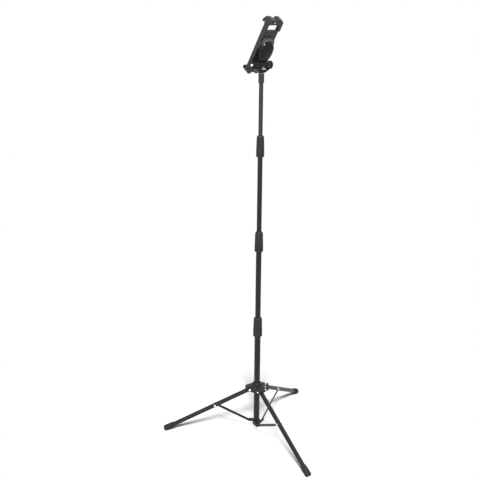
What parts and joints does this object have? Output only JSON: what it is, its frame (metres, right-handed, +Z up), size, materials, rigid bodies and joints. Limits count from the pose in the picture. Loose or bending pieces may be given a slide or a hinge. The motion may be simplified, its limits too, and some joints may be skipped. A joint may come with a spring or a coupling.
{
  "type": "adjustable tablet floor stand",
  "caption": "Folding tripod floor stand with a telescoping twist-lock pole and a tilting, turning clamp that holds a tablet by its edges.",
  "frame": {"origin": "on the floor, under the axis of the pole", "axes": "+Z up along the pole, the held tablet's screen faces -Y, +X along the tilt axle"},
  "size_m": [0.601, 0.564, 1.4948],
  "materials": {
    "tube_paint": "satin charcoal powder coat",
    "black_plastic": "fine moulded grain",
    "gloss_plastic": "polished moulding",
    "rubber": "matte",
    "zinc": "bright zinc plate",
    "nylon": "plain moulded"
  },
  "bodies": {
    "pole_base": {"main_tube": "tube_paint", "strut_collar": "black_plastic", "collar_rivets": "tube_paint", "pole_plug": "black_plastic", "lock_body_1": "black_plastic"},
    "twist_1": {"twist_collar_1": "black_plastic"},
    "stage_2": {"tube_2": "tube_paint", "guide_plug_2": "nylon", "lock_body_2": "black_plastic"},
    "twist_2": {"twist_collar_2": "black_plastic"},
    "stage_3": {"tube_3": "tube_paint", "guide_plug_3": "nylon", "lock_body_3": "black_plastic"},
    "twist_3": {"twist_collar_3": "black_plastic"},
    "stage_4": {"tube_4": "tube_paint", "guide_plug_4": "nylon", "pole_ferrule": "nylon"},
    "neck_nut": {"neck_knob": "black_plastic"},
    "spider": {"hub": "black_plastic", "hub_sleeve": "black_plastic", "hub_rivets": "zinc"},
    "hub_lock": {"lock_knob": "black_plastic", "lock_screw": "zinc"},
    "tilt_yoke": {"yoke": "gloss_plastic", "yoke_stem": "zinc", "tilt_axle": "zinc", "tilt_screws": "zinc", "tilt_washers": "nylon"},
    "arm": {"paddle_arm": "gloss_plastic", "tension_screw": "zinc", "turn_bolt": "zinc", "turn_nut": "zinc", "turn_washer": "nylon"},
    "holder": {"turntable": "black_plastic", "holder_bar": "black_plastic", "front_plate": "black_plastic", "bar_pads": "rubber", "brake_springs": "zinc", "lower_jaw": "black_plastic", "lower_jaw_screws": "zinc", "lower_jaw_pads": "rubber"},
    "upper_jaw": {"top_jaw": "black_plastic", "top_jaw_pads": "rubber"},
    "strut_1": {"strut_1": "tube_paint"},
    "leg_1": {"leg_tube_1": "tube_paint", "leg_foot_1": "rubber", "leg_rivet_1": "zinc"},
    "strut_2": {"strut_2": "tube_paint"},
    "leg_2": {"leg_tube_2": "tube_paint", "leg_foot_2": "rubber", "leg_rivet_2": "zinc"},
    "strut_3": {"strut_3": "tube_paint"},
    "leg_3": {"leg_tube_3": "tube_paint", "leg_foot_3": "rubber", "leg_rivet_3": "zinc"}
  },
  "joints": [
    {"name": "tripod_fold", "type": "hinge", "parent": "pole_base", "child": "strut_1", "pos_m": [0.00362, 0.02575, 0.03727], "axis": [0.9903, -0.1392, 0], "range_deg": [0, 62]},
    {"name": "leg_1_fold", "type": "hinge", "parent": "strut_1", "child": "leg_1", "pos_m": [0.02161, 0.15376, 0.10513], "axis": [0.9903, -0.1392, 0], "range_deg": [-124, 0]},
    {"name": "strut_2_fold", "type": "hinge", "parent": "pole_base", "child": "strut_2", "pos_m": [-0.02411, -0.00974, 0.03727], "axis": [-0.3746, 0.9272, 0], "range_deg": [0, 62]},
    {"name": "leg_2_fold", "type": "hinge", "parent": "strut_2", "child": "leg_2", "pos_m": [-0.14396, -0.05816, 0.10513], "axis": [-0.3746, 0.9272, 0], "range_deg": [-124, 0]},
    {"name": "strut_3_fold", "type": "hinge", "parent": "pole_base", "child": "strut_3", "pos_m": [0.02049, -0.01601, 0.03727], "axis": [-0.6157, -0.788, 0], "range_deg": [0, 62]},
    {"name": "leg_3_fold", "type": "hinge", "parent": "strut_3", "child": "leg_3", "pos_m": [0.12235, -0.09559, 0.10513], "axis": [-0.6157, -0.788, 0], "range_deg": [-124, 0]},
    {"name": "hub_rise", "type": "hinge", "parent": "leg_1", "child": "spider", "pos_m": [0.00362, 0.02575, 0.173], "axis": [0.9903, -0.1392, 0], "range_deg": [0, 62]},
    {"name": "hub_lock_turn", "type": "hinge", "parent": "spider", "child": "hub_lock", "pos_m": [-0.02285, 0.01785, 0.181], "axis": [-0.788, 0.6157, 0], "range_deg": [0, 360]},
    {"name": "twist_1_turn", "type": "hinge", "parent": "pole_base", "child": "twist_1", "pos_m": [0, 0, 0.385], "axis": [0, 0, 1], "range_deg": [0, 180]},
    {"name": "stage_2_slide", "type": "slide", "parent": "pole_base", "child": "stage_2", "axis": [0, 0, 1], "range_m": [-0.24, 0.03]},
    {"name": "twist_2_turn", "type": "hinge", "parent": "stage_2", "child": "twist_2", "pos_m": [0, 0, 0.705], "axis": [0, 0, 1], "range_deg": [0, 180]},
    {"name": "stage_3_slide", "type": "slide", "parent": "stage_2", "child": "stage_3", "axis": [0, 0, 1], "range_m": [-0.255, 0.03]},
    {"name": "twist_3_turn", "type": "hinge", "parent": "stage_3", "child": "twist_3", "pos_m": [0, 0, 1.039], "axis": [0, 0, 1], "range_deg": [0, 180]},
    {"name": "stage_4_slide", "type": "slide", "parent": "stage_3", "child": "stage_4", "axis": [0, 0, 1], "range_m": [-0.165, 0.03]},
    {"name": "neck_nut_turn", "type": "hinge", "parent": "stage_4", "child": "neck_nut", "pos_m": [0, 0, 1.284], "axis": [0, 0, 1], "range_deg": [0, 180]},
    {"name": "pan", "type": "hinge", "parent": "stage_4", "child": "tilt_yoke", "pos_m": [0, 0, 1.342], "axis": [0, 0, 1], "continuous": true},
    {"name": "tilt", "type": "hinge", "parent": "tilt_yoke", "child": "arm", "pos_m": [0, 0, 1.342], "axis": [-1, 0, 0], "range_deg": [-33.5, 56.5]},
    {"name": "turn", "type": "hinge", "parent": "arm", "child": "holder", "pos_m": [0, 0.00988, 1.41581], "axis": [0, -0.8339, 0.5519], "continuous": true},
    {"name": "jaw_slide", "type": "slide", "parent": "holder", "child": "upper_jaw", "axis": [0, 0.5519, 0.8339], "range_m": [-0.017, 0.034]}
  ],
  "couplings": [
    {"joint": "leg_1_fold", "follows": "tripod_fold", "ratio": -2},
    {"joint": "strut_2_fold", "follows": "tripod_fold", "ratio": 1},
    {"joint": "leg_2_fold", "follows": "tripod_fold", "ratio": -2},
    {"joint": "strut_3_fold", "follows": "tripod_fold", "ratio": 1},
    {"joint": "leg_3_fold", "follows": "tripod_fold", "ratio": -2},
    {"joint": "hub_rise", "follows": "tripod_fold", "ratio": 1}
  ]
}
